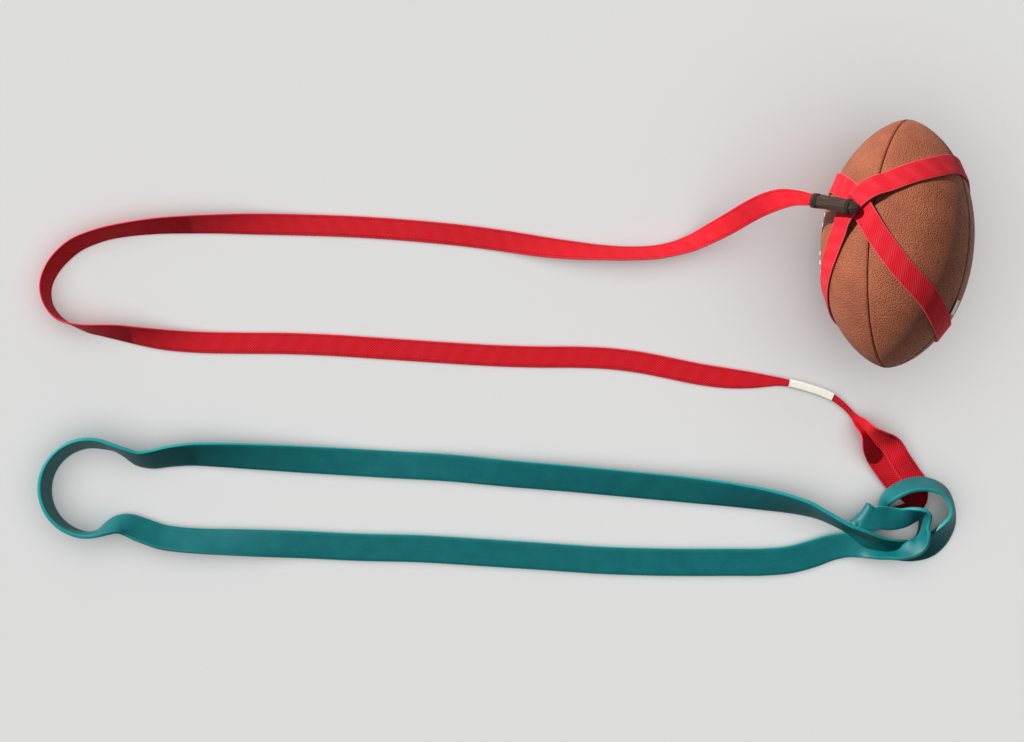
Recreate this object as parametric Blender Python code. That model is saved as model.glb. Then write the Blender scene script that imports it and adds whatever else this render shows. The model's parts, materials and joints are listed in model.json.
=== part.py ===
"""Throwing trainer: a four-panel football held in a webbing harness, a webbing tether, and a latex loop band."""

import math

import bmesh
import bpy
from mathutils import Matrix, Vector

MM = 0.001

# Driving dimensions, in metres.
GAP = 0.0003  # clearance between pieces that touch
BALL_LENGTH = 0.279
BALL_DIAMETER = 0.168
PROFILE_POWER = 2.1  # how square the ball's shoulders are
PROFILE_ROOT = 0.62  # how blunt its tips are
TIP_HOLE = 0.985  # share of the half length where the panels stop
LEATHER_THICKNESS = 0.0025
LINING_THICKNESS = 0.0012
BLADDER_THICKNESS = 0.0010
BLADDER_CLEARANCE = 0.0012
SEAM_GAP = 0.0006
BALL_ROWS = 16  # facets of each panel along the ball
BALL_COLUMNS = 8  # and round it
VALVE_RADIUS = 0.0035
VALVE_HOLE_CLEARANCE = 0.0005
LACE_WIDTH = 0.0055
LACE_THICKNESS = 0.0022
LACE_SPAN = 0.026
LACE_PITCH = 0.0105
LACE_CROSSINGS = 8
LACE_CENTRE = -0.010
WEBBING_WIDTH = 0.025
WEBBING_THICKNESS = 0.002
HARNESS_WIDTH = 0.0245
HARNESS_SECTIONS = 72
BAND_WIDTH = 0.032
BAND_THICKNESS = 0.0045
KEEPER_WIDTH = 0.0150
KEEPER_DEPTH = 0.0100
KEEPER_WALL = 0.0012
KEEPER_REACH = 0.0410  # how far it reaches over the floor
KEEPER_SLOPE = math.radians(44)
WHIPPING_LENGTH = 0.0050
LABEL_WIDTH = 0.0100
LABEL_DEPTH = 0.0061
LABEL_THICKNESS = 0.0006
TAG_LENGTH = 0.0160
TAG_WIDTH = 0.0095
SWING_GAP = 0.0040  # between the keeper's strap and the tether, at the swing joint
FOLD_GAP = 0.0044  # between the two runs of the tether, at the fold joint

# Where the ball lies: its centre over the floor, and how far its long axis turns from +Y.
BALL_X = 0.4450
BALL_Y = 0.1215
BALL_TURN = math.radians(-5.3)
BALL_Z = BALL_DIAMETER / 2 + WEBBING_THICKNESS + GAP + HARNESS_WIDTH**2 / 4 / BALL_DIAMETER

# Angles round the ball from its top, towards +X.
SEAM_ANGLES = [math.radians(a) for a in (-122, -32, 55, 145)]
LACED_SEAM = 0
VALVE_ANGLE = math.radians(100)
VALVE_STATION = 0.020

FRONT_CROSSING = (0.0361, math.radians(-44))
PULL = 0.004  # how far the tether lifts the loops off the ball at the front crossing
PULL_REACH = 0.070  # and how far from the crossing it still does
KEEPER_ROOT = (0.0260, math.radians(-40))
KEEPER_HEADING = (-0.960, 0.280)
# Where each harness loop's middle lies round the ball: angle in degrees, and distance along its axis in millimetres.
HARNESS_KNOTS = {
    "harness_loop_upper": [
        (-44, 36.1), (-15, 64), (16, 80), (45, 88), (68, 86), (90, 78), (115, 40), (140, -18), (165, -60),
        (190, -80), (215, -87), (240, -84), (255, -76), (270, -60), (290, -26),
    ],
    "harness_loop_lower": [
        (-44, 36.1), (-22.7, -4), (-6, -32), (16, -57.4), (45.5, -84), (68, -93), (90, -94.5), (115, -89.9),
        (140, -75.2), (165, -46.3), (190, -5.2), (215, 31.5), (240, 53.2), (270, 60.6), (290, 55.6),
    ],
}
TAG_POINT = (-0.067, math.radians(59))

# Routes: x, y and height of the lower edge in millimetres, roll in degrees and, where the strip
# is gathered, its share of the full width. A roll lifts the edge on the left of the direction of travel.
MOUTH_ROLL_AND_SHARE = (12, 0.58)
UPPER_RUN = [
    (330, 170.5, 107, 12, 0.72),
    (313, 170.5, 93, 6, 0.94),
    (298, 166.5, 78, 2),
    (283, 159.5, 61, 0),
    (263, 148, 39, 10),
    (242, 137, 19, 24),
    (221, 127, 5, 38),
    (204, 121.5, 0.8, 46),
    (187, 117.7, 0.2, 48),
    (152, 115.4, 0.2, 48),
    (117, 116.6, 0.2, 42),
    (82, 119.5, 0.2, 28),
    (47, 123.8, 0.3, 14),
    (12, 129.3, 0.5, 4),
    (-23, 134.3, 0.5, 0),
    (-93, 141.7, 0.4, 0),
    (-163, 146.7, 0.2, 0),
    (-233, 149.2, 0.2, -4),
    (-281, 150, 0.2, -14),
    (-326, 150, 0.2, -30),
    (-361, 149.2, 0.2, -38),
    (-396, 147.5, 0.2, -46),
    (-431, 143.5, 0.2, -54),
    (-457, 138.5, 0.2, -57),
    (-473, 133.5, 0.2, -56),
    (-491, 125.5, 0.2, -54),
    (-506, 113.5, 0.2, -54),
    (-519, 97, 0.2, -60),
    (-526, 77, 0.2, -70),
    (-523, 57, 0.2, -80),
]
LOWER_RUN = [
    (-510, 40, 0.2, -86),
    (-489, 31, 0.2, 80),
    (-477, 28, 0.2, 70),
    (-462, 26.3, 0.2, 60),
    (-442, 23.8, 0.2, 46),
    (-419, 19.8, 0.2, 34),
    (-396, 16.3, 0.2, 20),
    (-349, 12.5, 0.2, 4),
    (-303, 11.6, 0.2, 0),
    (-251, 11.2, 0.2, 0),
    (-198, 9.2, 0.2, 0),
    (-128, 4.7, 0.2, 0),
    (-58, 0, 0.2, 0),
    (-6, -3, 0.2, 0),
    (47, -4.6, 0.2, 0),
    (91, -4.8, 0.2, 0),
    (129, -6.6, 0.2, 0),
    (164, -11, 0.2, 0),
    (194, -16.8, 0.2, 0),
    (229, -24, 0.2, 0),
    (261, -28.8, 0.2, 0, 0.96),
    (289, -31.3, 0.2, 0, 0.80),
    (311, -32.5, 0.3, 0, 0.56),
]
# The eye starts as the lower layer in the label sleeve, goes round the band and comes back on top.
EYE_ROUTE = [
    (325, -33.3, 0.8, 0, 0.40),
    (339, -35.6, 1.0, 0, 0.32),
    (351, -38.6, 1.0, 0, 0.31),
    (363, -42.2, 1.0, 0, 0.31),
    (375, -46.2, 1.0, 0, 0.31),
    (387, -51.4, 1.0, 0, 0.31),
    (397, -58.5, 0.8, 0, 0.28),
    (405, -66, 0.6, 0, 0.26),
    (412, -74.5, 0.5, -20, 0.30),
    (416.5, -84, 0.5, -50, 0.62),
    (423, -94, 0.5, -60, 0.95),
    (427.5, -107.5, 0.4, -42),
    (436, -119, 0.4, -16),
    (448.5, -136.5, 0.4, -8),
    (462.5, -153, 0.4, 0, 0.98),
    (474, -163, 0.4, 0, 0.85),
    (481, -173, 0.5, 0, 0.70),
    (477, -182, 0.5, 0, 0.60),
    (465, -186, 0.5, 0, 0.56),
    (452, -186.5, 0.5, 0, 0.54),
    (442, -185.4, 0.6, 0, 0.48),
    (435, -184.6, 1.8, 0, 0.46),
    (431, -184.4, 7.5, 0, 0.46),
    (434.5, -184.6, 14.2, 0, 0.46),
    (441, -185.3, 15.4, 0, 0.50),
    (454, -184.6, 14.6, 0, 0.52),
    (468, -182.5, 10.8, 0, 0.60),
    (480, -179, 7.8, 0, 0.68),
    (486.5, -171, 5.4, 0, 0.80),
    (487, -162, 4.0, 0, 0.86),
    (485.5, -152, 3.2, 0, 0.93),
    (477, -141, 3.4, -4),
    (465, -124, 4.6, -14),
    (453.5, -106.5, 5, -24),
    (440.5, -98, 4.4, -46),
    (430.5, -91, 3.4, -60, 0.95),
    (423, -82.5, 3.2, -46, 0.60),
    (414, -75, 3.0, -16, 0.30),
    (405.5, -66.5, 3.1, 0, 0.26),
    (397, -58.5, 3.3, 0, 0.28),
    (387, -51.4, 3.4, 0, 0.31),
    (375, -46.2, 3.4, 0, 0.31),
    (363, -42.2, 3.4, 0, 0.31),
    (351, -38.6, 3.4, 0, 0.31),
    (341, -36.1, 3.4, 0, 0.32),
]
# The label is a sewn sleeve round the two folded layers where the eye starts.
LABEL_ROUTE = [
    (336.5, -35, 0.1, 0),
    (351, -38.6, 0.1, 0),
    (363, -42.2, 0.1, 0),
    (375, -46.2, 0.1, 0),
    (387, -51.4, 0.1, 0),
]
# The band's upper leg runs from its anchor loop to the hitch.
UPPER_LEG = [
    (-403, -123, 0.3, 50),
    (-385, -120, 0.3, 44),
    (-361, -117.5, 0.3, 38),
    (-326, -118, 0.3, 30),
    (-279, -120.5, 0.3, 20),
    (-209, -124.7, 0.3, 8),
    (-128, -129.5, 0.3, 0),
    (-58, -133.5, 0.3, 4),
    (12, -140, 0.3, 10),
    (82, -145.8, 0.3, 14),
    (152, -152.3, 0.3, 16),
    (222, -159, 0.3, 20),
    (268, -164, 0.3, 30),
    (307, -169.5, 0.3, 40),
    (329, -173.3, 0.3, 48),
]
# The hitch: from the upper leg, once round as an open ring, folded back over itself and out to the lower leg.
HITCH_ROUTE = [
    (344, -176.7, 0.3, 55),
    (359, -181, 0.3, 62),
    (371, -186, 0.4, 70),
    (383, -191.7, 0.8, 74),
    (394, -197.6, 1.6, 76),
    (405, -203.5, 3.2, 74, 0.94),
    (416, -209.5, 5.2, 62, 0.86),
    (429, -217, 5.6, 48, 0.80),
    (445, -224, 4.2, 34, 0.78),
    (462, -228.5, 1.6, 18, 0.78),
    (479, -229.5, 0.5, 8, 0.80),
    (493, -226.5, 0.5, 16, 0.84),
    (503.5, -219.5, 0.5, 32, 0.94),
    (512.5, -209.5, 0.5, 44),
    (519.5, -198.5, 0.8, 56),
    (523, -186.5, 1.5, 70),
    (521.5, -174, 3, 74),
    (515.5, -162.5, 5, 72),
    (505, -155, 6.6, 70),
    (493, -151.5, 7.4, 68),
    (480, -151.5, 7.8, 68),
    (468, -154.5, 7.6, 70),
    (457, -160.5, 6.6, 72, 0.94),
    (449, -168, 4.8, 56, 0.60),
    (445.5, -176, 3.6, 24, 0.38),
    (443.5, -185, 3.6, 6, 0.30),
    (440, -194.5, 3.6, 0, 0.28),
    (432.5, -200.5, 3.8, 0, 0.32),
    (425.5, -198, 4.6, 0, 0.42),
    (418.5, -191.5, 7.5, 0, 0.70),
    (416, -187.5, 14, 0, 0.92),
    (420, -187.5, 21, 0, 0.98),
    (426.5, -192.3, 21.5, 0, 0.84),
    (438, -190, 21.2, 0, 0.86),
    (451, -191.3, 19.5, 0, 0.84),
    (465, -190.5, 16, 14, 0.74),
    (477, -186.5, 14.2, 38, 0.70),
    (486.5, -185, 12.6, 64, 0.76),
    (490.5, -192.5, 6, 80, 0.82),
    (490.5, -203, 3, 82, 0.86),
    (489, -212.5, 5.4, 70, 0.84),
    (485, -220.5, 8.8, 50, 0.76),
    (477, -226, 11, 34, 0.68),
    (466, -231, 7.4, 48, 0.62),
    (453, -233, 1.6, 64, 0.62),
    (439, -230.5, 0.4, 44, 0.68),
    (423, -225.3, 0.4, 14, 0.82),
    (405, -223.5, 0.4, 4, 0.88),
    (387, -226, 0.3, 0, 0.94),
]
# The lower leg runs back from the hitch to the anchor loop.
LOWER_LEG = [
    (362, -234, 0.3, 0),
    (338, -240.3, 0.3, 0),
    (309, -243, 0.3, 0),
    (268, -243.4, 0.3, 0),
    (187, -243.2, 0.3, 0),
    (117, -241, 0.3, 0),
    (47, -236.4, 0.3, 0),
    (-23, -231.8, 0.3, 0),
    (-93, -227.6, 0.3, 0),
    (-163, -225.9, 0.3, 0),
    (-233, -222.6, 0.3, 3),
    (-271, -221.2, 0.3, 12),
    (-311, -219.6, 0.3, 24),
    (-349, -218, 0.3, 33),
    (-373, -216, 0.3, 35),
    (-391, -213.3, 0.3, 36),
]
HOOK_POINT = (442, -185)  # where the eye holds the hitch
ANCHOR_CENTRE = (-472.5, -157.5)
ANCHOR_RADIUS = 53.5
ANCHOR_ROLL = 80
ANCHOR_LEAN = 8  # how much steeper it stands at its near side than at its far side
ANCHOR_ARC = (math.radians(262), math.radians(78))  # start and end, going clockwise
ANCHOR_ROWS = 16
ANCHOR_START = [
    (-406, -208.3, 0.3, 38),
    (-419, -203.4, 0.3, 40),
    (-431, -199, 0.3, 46, 0.98),
    (-443, -198.6, 0.3, 58),
    (-455, -203.5, 0.3, 70),
    (-465, -208.5, 0.3, 82),
]
ANCHOR_END = [
    (-447, -109, 0.3, 76),
    (-432, -115.6, 0.3, 70),
    (-419, -122, 0.3, 60),
]

STEP = 0.020  # most spacing of the sections along a strap
UPRIGHT_SHARE = 0.35  # a route steeper than this keeps the across direction that it had


def clear_scene():
    for obj in list(bpy.data.objects):
        bpy.data.objects.remove(obj, do_unlink=True)


def material(name, colour, roughness, metallic=0.0):
    made = bpy.data.materials.get(name)
    if made:
        return made
    made = bpy.data.materials.new(name)
    made.use_nodes = True
    shader = made.node_tree.nodes["Principled BSDF"]
    shader.inputs["Base Color"].default_value = (*colour, 1)
    shader.inputs["Roughness"].default_value = roughness
    shader.inputs["Metallic"].default_value = metallic
    return made


LEATHER = ("pebbled_leather", (0.45, 0.16, 0.06), 0.55)
LINING = ("lining_cloth", (0.62, 0.58, 0.50), 0.9)
RUBBER = ("bladder_rubber", (0.05, 0.05, 0.05), 0.6)
LACE = ("lace_white", (0.80, 0.79, 0.75), 0.6)
WEBBING = ("webbing_red", (0.70, 0.01, 0.03), 0.7)
WRAP = ("wrap_brown", (0.05, 0.025, 0.01), 0.8)
THREAD = ("thread_dark", (0.03, 0.02, 0.015), 0.8)
LABEL = ("label_white", (0.85, 0.85, 0.83), 0.6)
LATEX = ("latex_teal", (0.00, 0.20, 0.21), 0.55)


def add_object(name, mesh, finish, pivot=None, parent=None):
    """One named object; a pivot puts its origin there without moving its shape."""
    obj = bpy.data.objects.new(name, mesh)
    bpy.context.scene.collection.objects.link(obj)
    mesh.materials.append(material(*finish))
    if pivot is not None:
        mesh.transform(Matrix.Translation(-Vector(pivot)))
        obj.location = pivot
    if parent is not None:
        obj.parent = parent
    mesh.shade_smooth()
    mesh.set_sharp_from_angle(angle=math.radians(40))
    return obj


def mesh_of(name, points, faces):
    mesh = bpy.data.meshes.new(name)
    mesh.from_pydata([tuple(p) for p in points], [], faces)
    shape = bmesh.new()
    shape.from_mesh(mesh)
    bmesh.ops.recalc_face_normals(shape, faces=shape.faces)
    shape.to_mesh(mesh)
    shape.free()
    return mesh


def hermite(values, steps, fractions):
    """Smooth values through a list, whose neighbours are steps apart."""
    slopes = []
    for i in range(len(values)):
        before = (values[i] - values[i - 1]) / steps[i - 1] if i else None
        after = (values[i + 1] - values[i]) / steps[i] if i < len(steps) else None
        if before is None or after is None:
            slopes.append(after if before is None else before)
        else:
            slopes.append((before * steps[i] + after * steps[i - 1]) / (steps[i] + steps[i - 1]))
    made = []
    for i, t in fractions:
        if i == len(steps):
            made.append(values[i])
            continue
        h = steps[i]
        made.append(
            values[i] * (2 * t**3 - 3 * t**2 + 1)
            + slopes[i] * h * (t**3 - 2 * t**2 + t)
            + values[i + 1] * (3 * t**2 - 2 * t**3)
            + slopes[i + 1] * h * (t**3 - t**2)
        )
    return made


def route_points(rows, width, thickness):
    """The centre, across direction and width of a strip at each row of its route."""
    centres, rolls, widths = [], [], []
    for x, y, lift, roll, *share in rows:
        wide = width * (share[0] if share else 1)
        angle = math.radians(roll)
        half = abs(math.sin(angle)) * wide / 2 + abs(math.cos(angle)) * thickness / 2
        centres.append(Vector((x * MM, y * MM, lift * MM + half)))
        rolls.append(angle)
        widths.append(wide)
    across = []
    for i, angle in enumerate(rolls):
        along = centres[min(i + 1, len(rows) - 1)] - centres[max(i - 1, 0)]
        side = Vector((-along.y, along.x, 0))
        if side.length < UPRIGHT_SHARE * along.length:
            across.append(across[-1])
            continue
        side.normalize()
        upward = along.cross(side).normalized()
        turned = side * math.cos(angle) + upward * math.sin(angle)
        if across and turned.dot(across[-1]) < 0:
            turned = -turned  # the same strip, with its edges named the other way round
        across.append(turned)
    return centres, across, widths


def sections_of(rows, width, thickness):
    """Sections (centre, across, normal, width) along the smooth curve through the rows, and which is at each row."""
    centres, across, widths = route_points(rows, width, thickness)
    steps = [max((b - a).length, MM / 10) for a, b in zip(centres, centres[1:])]
    fractions, marks = [], []
    for i, long in enumerate(steps):
        parts = max(2, math.ceil(long / STEP))
        marks.append(len(fractions))
        fractions += [(i, k / parts) for k in range(parts)]
    marks.append(len(fractions))
    fractions.append((len(steps), 0))
    middle = hermite(centres, steps, fractions)
    side = hermite(across, steps, fractions)
    wide = hermite(widths, steps, fractions)
    sections = []
    for i, centre in enumerate(middle):
        along = (middle[min(i + 1, len(middle) - 1)] - middle[max(i - 1, 0)]).normalized()
        direction = (side[i] - along * side[i].dot(along)).normalized()
        sections.append((centre, direction, along.cross(direction), wide[i]))
    return sections, marks


def section_corners(section, thickness, inset=0.0):
    centre, across, normal, wide = section
    out = across * (wide / 2 - inset)
    up = normal * (thickness / 2 - inset)
    return [centre - out - up, centre + out - up, centre + out + up, centre - out + up]


def strip_mesh(name, sections, thickness, joined=False):
    """A solid strap through its sections; a joined one closes on itself."""
    points, faces = [], []
    for section in sections:
        points += section_corners(section, thickness)
    total = len(points)
    for i in range(0, total if joined else total - 4, 4):
        j = (i + 4) % total
        faces += [(i + k, i + (k + 1) % 4, j + (k + 1) % 4, j + k) for k in range(4)]
    if not joined:
        faces += [(3, 2, 1, 0), (total - 4, total - 3, total - 2, total - 1)]
    return mesh_of(name, points, faces)


def sleeve_mesh(name, sections, thickness, wall):
    """A flat open tube through its sections."""
    points, faces = [], []
    for section in sections:
        points += section_corners(section, thickness) + section_corners(section, thickness, wall)
    last = len(points) - 8
    for k in range(4):
        after = (k + 1) % 4
        for i in range(0, last, 8):
            faces.append((i + k, i + after, i + 8 + after, i + 8 + k))
            faces.append((i + 4 + k, i + 12 + k, i + 12 + after, i + 4 + after))
        faces.append((k, after, 4 + after, 4 + k))
        faces.append((last + k, last + 4 + k, last + 4 + after, last + after))
    return mesh_of(name, points, faces)


def shortened(sections, at_start, at_end):
    """The same sections with the two ends pulled back along the strip."""
    made = list(sections)
    for end, before, short in ((0, 1, at_start), (-1, -2, at_end)):
        back = (made[before][0] - made[end][0]).normalized() * short
        made[end] = (made[end][0] + back, *made[end][1:])
    return made


def strip_pieces(groups, width, thickness, finish, closed=False):
    """One long strip, made as a piece for each (name, rows, gap before it, pivot)."""
    rows = [row for _, part, _, _ in groups for row in part]
    first = 2 if closed else 0
    if closed:
        rows = rows[-first:] + rows + rows[:first]
    sections, marks = sections_of(rows, width, thickness)
    for i, (name, part, gap, pivot) in enumerate(groups):
        last = first + len(part)
        if not closed and i == len(groups) - 1:
            last -= 1
        gap_after = groups[(i + 1) % len(groups)][2]
        piece = shortened(sections[marks[first] : marks[last] + 1], gap / 2, gap_after / 2)
        add_object(name, strip_mesh(name, piece, thickness), finish, pivot)
        first = last


def ball_radius(station, inset=0.0):
    share = min(abs(station) / (BALL_LENGTH / 2 - inset), 1)
    return (BALL_DIAMETER / 2 - inset) * (1 - share**PROFILE_POWER) ** PROFILE_ROOT


def ball_point(station, angle, inset=0.0):
    r = ball_radius(station, inset)
    return Vector((r * math.sin(angle), station, r * math.cos(angle)))


def ball_normal(station, angle):
    """Outward direction of the ball's surface."""
    small = MM / 10
    slope = (ball_radius(station + small) - ball_radius(station - small)) / (2 * small)
    return Vector((math.sin(angle), -slope, math.cos(angle))).normalized()


def stations(count, half):
    """Stations along the ball, closer together towards its tips."""
    widest = math.asin(TIP_HOLE)
    return [half * math.sin(-widest + 2 * widest * i / count) for i in range(count + 1)]


def gore(name, first, last, inset, thickness, gap, finish, frame):
    """A quarter shell of the ball between two seams."""
    along, around = BALL_ROWS, BALL_COLUMNS
    shares = [s / (BALL_LENGTH / 2) for s in stations(along, BALL_LENGTH / 2)]
    points, faces = [], []
    for layer in (inset, inset + thickness):
        for share in shares:
            station = share * (BALL_LENGTH / 2 - layer)
            edge = gap / 2 / ball_radius(station, layer)
            for j in range(around + 1):
                angle = first + edge + (last - first - 2 * edge) * j / around
                points.append(ball_point(station, angle, layer))
    row = around + 1
    layer = row * (along + 1)

    def at(deep, i, j):
        return deep * layer + i * row + j

    for i in range(along):
        for j in range(around):
            for deep in (0, 1):
                faces.append((at(deep, i, j), at(deep, i + 1, j), at(deep, i + 1, j + 1), at(deep, i, j + 1)))
        for j in (0, around):
            faces.append((at(0, i, j), at(0, i + 1, j), at(1, i + 1, j), at(1, i, j)))
    for j in range(around):
        for i in (0, along):
            faces.append((at(0, i, j), at(0, i, j + 1), at(1, i, j + 1), at(1, i, j)))
    return add_object(name, mesh_of(name, points, faces), finish, parent=frame)


def cut(obj, cutter):
    modifier = obj.modifiers.new("valve_hole", "BOOLEAN")
    modifier.operation = "DIFFERENCE"
    modifier.solver = "EXACT"
    modifier.object = cutter


def round_bar(name, radii, finish, frame, matrix, sides=16):
    """A turned piece from (radius, height) pairs, bottom to top."""
    points, faces = [], []
    for radius, height in radii:
        for k in range(sides):
            turn = 2 * math.pi * k / sides
            points.append(matrix @ Vector((radius * math.cos(turn), radius * math.sin(turn), height)))
    for i in range(len(radii) - 1):
        for k in range(sides):
            a, b = i * sides + k, i * sides + (k + 1) % sides
            faces.append((a, b, b + sides, a + sides))
    faces.append(tuple(range(sides))[::-1])
    faces.append(tuple(range(len(points) - sides, len(points))))
    return add_object(name, mesh_of(name, points, faces), finish, parent=frame)


def surface_frame(station, angle):
    """A matrix whose origin is on the ball and whose Z points outwards."""
    normal = ball_normal(station, angle)
    across = Vector((math.cos(angle), 0, -math.sin(angle)))
    along = normal.cross(across).normalized()
    turned = Matrix((across, along, normal)).transposed().to_4x4()
    return Matrix.Translation(ball_point(station, angle)) @ turned


def make_bladder(frame, cutter):
    inset = LEATHER_THICKNESS + LINING_THICKNESS + BLADDER_CLEARANCE
    count, sides = BALL_ROWS, 24
    points, faces = [], []
    for layer in (inset, inset + BLADDER_THICKNESS):
        half = BALL_LENGTH / 2 - layer
        base = len(points)
        rows = stations(count, half)
        for station in rows:
            points += [ball_point(station, 2 * math.pi * k / sides, layer) for k in range(sides)]
        for i in range(count):
            for k in range(sides):
                a, b = base + i * sides + k, base + i * sides + (k + 1) % sides
                faces.append((a, b, b + sides, a + sides))
        points += [Vector((0, -half, 0)), Vector((0, half, 0))]
        top = base + count * sides
        for k in range(sides):
            faces.append((base + k, base + (k + 1) % sides, len(points) - 2))
            faces.append((top + k, top + (k + 1) % sides, len(points) - 1))
    mesh = mesh_of("bladder", points, faces)
    flip_inner_shell(mesh, len(points) // 2)
    bladder = add_object("bladder", mesh, RUBBER, parent=frame)
    cut(bladder, cutter)


def flip_inner_shell(mesh, first_inner):
    """Outer faces point outwards from the ball's centre, inner faces towards it."""
    shape = bmesh.new()
    shape.from_mesh(mesh)
    shape.verts.ensure_lookup_table()
    for face in shape.faces:
        inner = all(v.index >= first_inner for v in face.verts)
        outwards = face.normal.dot(face.calc_center_median()) > 0
        if outwards == inner:
            face.normal_flip()
    shape.to_mesh(mesh)
    shape.free()


def make_ball(frame):
    hole = VALVE_RADIUS + VALVE_HOLE_CLEARANCE
    place = surface_frame(VALVE_STATION, VALVE_ANGLE)
    cutter = round_bar("valve_cutter", [(hole, -0.02), (hole, 0.01)], THREAD, frame, place)
    cutter.hide_render = True
    cutter.display_type = "WIRE"
    for i, first in enumerate(SEAM_ANGLES):
        last = SEAM_ANGLES[(i + 1) % 4] + (2 * math.pi if i == 3 else 0)
        panel = gore(
            f"leather_panel_{i + 1}", first, last, 0.0, LEATHER_THICKNESS, SEAM_GAP, LEATHER, frame
        )
        lining = gore(
            f"panel_lining_{i + 1}", first, last, LEATHER_THICKNESS + GAP, LINING_THICKNESS,
            4 * SEAM_GAP, LINING, frame,
        )
        if first < VALVE_ANGLE < last:
            cut(panel, cutter)
            cut(lining, cutter)
    make_bladder(frame, cutter)
    depth = LEATHER_THICKNESS + LINING_THICKNESS + BLADDER_CLEARANCE + BLADDER_THICKNESS
    stem = [
        (VALVE_RADIUS, -depth - 0.006),
        (VALVE_RADIUS, -0.0012),
        (VALVE_RADIUS * 0.8, -0.0006),
        (VALVE_RADIUS * 0.3, -0.0010),
    ]
    round_bar("valve", stem, RUBBER, frame, place)


def patch_on_ball(name, stations_list, angle, half_width, thickness, lift, finish, frame, across=4):
    """A strip that follows the ball along its axis, centred on an angle."""
    points, faces = [], []
    for station in stations_list:
        for j in range(across + 1):
            side = (2 * j / across - 1) * half_width
            at_angle = angle + side / ball_radius(station)
            base = ball_point(station, at_angle)
            normal = ball_normal(station, at_angle)
            points += [base + normal * lift, base + normal * (lift + thickness)]
    row = 2 * (across + 1)
    count = len(stations_list)
    for i in range(count - 1):
        for j in range(across):
            a = i * row + 2 * j
            faces.append((a, a + row, a + row + 2, a + 2))
            faces.append((a + 1, a + 3, a + row + 3, a + row + 1))
        for a in (i * row, i * row + 2 * across):
            faces.append((a, a + 1, a + row + 1, a + row))
    for i in (0, count - 1):
        for j in range(across):
            a = i * row + 2 * j
            faces.append((a, a + 2, a + 3, a + 1))
    return add_object(name, mesh_of(name, points, faces), finish, parent=frame)


def make_laces(frame):
    """The long lace along the laced seam, and the short ones that cross it."""
    seam = SEAM_ANGLES[LACED_SEAM]
    half = LACE_PITCH * (LACE_CROSSINGS - 1) / 2 + LACE_WIDTH * 0.9
    steps = [LACE_CENTRE - half + 2 * half * i / 12 for i in range(13)]
    patch_on_ball("lace_long", steps, seam, LACE_WIDTH / 2, LACE_THICKNESS, GAP, LACE, frame, across=2)
    for n in range(LACE_CROSSINGS):
        middle = LACE_CENTRE + (n - (LACE_CROSSINGS - 1) / 2) * LACE_PITCH
        points, faces = [], []
        count = 10
        for i in range(count + 1):
            share = 2 * i / count - 1
            angle = seam + share * LACE_SPAN / 2 / ball_radius(middle)
            hump = (LACE_THICKNESS + GAP) * (1 - share**4)
            for station in (middle - LACE_WIDTH / 2, middle + LACE_WIDTH / 2):
                normal = ball_normal(station, angle)
                base = ball_point(station, angle) + normal * (GAP + hump)
                points += [base, base + normal * LACE_THICKNESS]
        for i in range(0, 4 * count, 4):
            faces += [(i, i + 4, i + 6, i + 2), (i + 1, i + 3, i + 7, i + 5)]
            faces += [(i, i + 1, i + 5, i + 4), (i + 2, i + 6, i + 7, i + 3)]
        faces += [(0, 2, 3, 1), (4 * count, 4 * count + 1, 4 * count + 3, 4 * count + 2)]
        name = f"lace_cross_{n + 1}"
        add_object(name, mesh_of(name, points, faces), LACE, parent=frame)


def loop_middles(knots, count):
    """(station, angle) round a harness loop, on the smooth closed curve through its knots."""
    full = 2 * math.pi
    turns = [math.radians(angle) for angle, _ in knots]
    values = [station * MM for _, station in knots]
    around = [t - full for t in turns[-2:]] + turns + [t + full for t in turns[:2]]
    values = values[-2:] + values + values[:2]
    steps = [b - a for a, b in zip(around, around[1:])]
    angles = [turns[0] + full * k / count for k in range(count)]
    fractions = []
    for angle in angles:
        i = sum(turn <= angle for turn in around) - 1
        fractions.append((i, (angle - around[i]) / steps[i]))
    return list(zip(hermite(values, steps, fractions), angles))


def make_harness(frame):
    """Two closed webbing loops that cross in front and behind; the upper one passes over the lower one."""
    stack = WEBBING_THICKNESS + GAP
    rise = stack + GAP + HARNESS_WIDTH**2 / 4 / BALL_DIAMETER
    front = ball_point(*FRONT_CROSSING)
    upper, lower = (loop_middles(knots, HARNESS_SECTIONS) for knots in HARNESS_KNOTS.values())
    behind = range(HARNESS_SECTIONS // 4, 3 * HARNESS_SECTIONS // 4)
    rear = ball_point(*upper[min(behind, key=lambda k: abs(upper[k][0] - lower[k][0]))])
    for name, middles in (("harness_loop_upper", upper), ("harness_loop_lower", lower)):
        points = [ball_point(*middle) for middle in middles]
        sections = []
        for i, (point, middle) in enumerate(zip(points, middles)):
            outward = ball_normal(*middle)
            tangent = points[(i + 1) % len(points)] - points[i - 1]
            across = outward.cross(tangent).normalized()
            lift = GAP + WEBBING_THICKNESS / 2
            if name == "harness_loop_upper":
                near = min((point - front).length, (point - rear).length)
                share = max(0.0, min(1.0, 2.1 - near / (HARNESS_WIDTH * 0.75)))
                lift += rise * share * share * (3 - 2 * share)
            pulled = max(0.0, 1 - (point - front).length / PULL_REACH)
            lift += PULL * pulled * pulled * (3 - 2 * pulled)
            sections.append((point + outward * lift, across, outward, HARNESS_WIDTH))
        mesh = strip_mesh(name, sections, WEBBING_THICKNESS, joined=True)
        add_object(name, mesh, WEBBING, parent=frame)


def make_tag(frame):
    station, angle = TAG_POINT
    steps = [station + TAG_LENGTH * (i / 4 - 0.5) for i in range(5)]
    patch_on_ball("harness_tag", steps, angle, TAG_WIDTH / 2, LABEL_THICKNESS, GAP, LABEL, frame)


def oval_ring(centre, along, across, half_width, half_depth, sides=16):
    normal = along.cross(across)
    turns = [2 * math.pi * k / sides for k in range(sides)]
    return [centre + across * half_width * math.cos(a) + normal * half_depth * math.sin(a) for a in turns]


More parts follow.
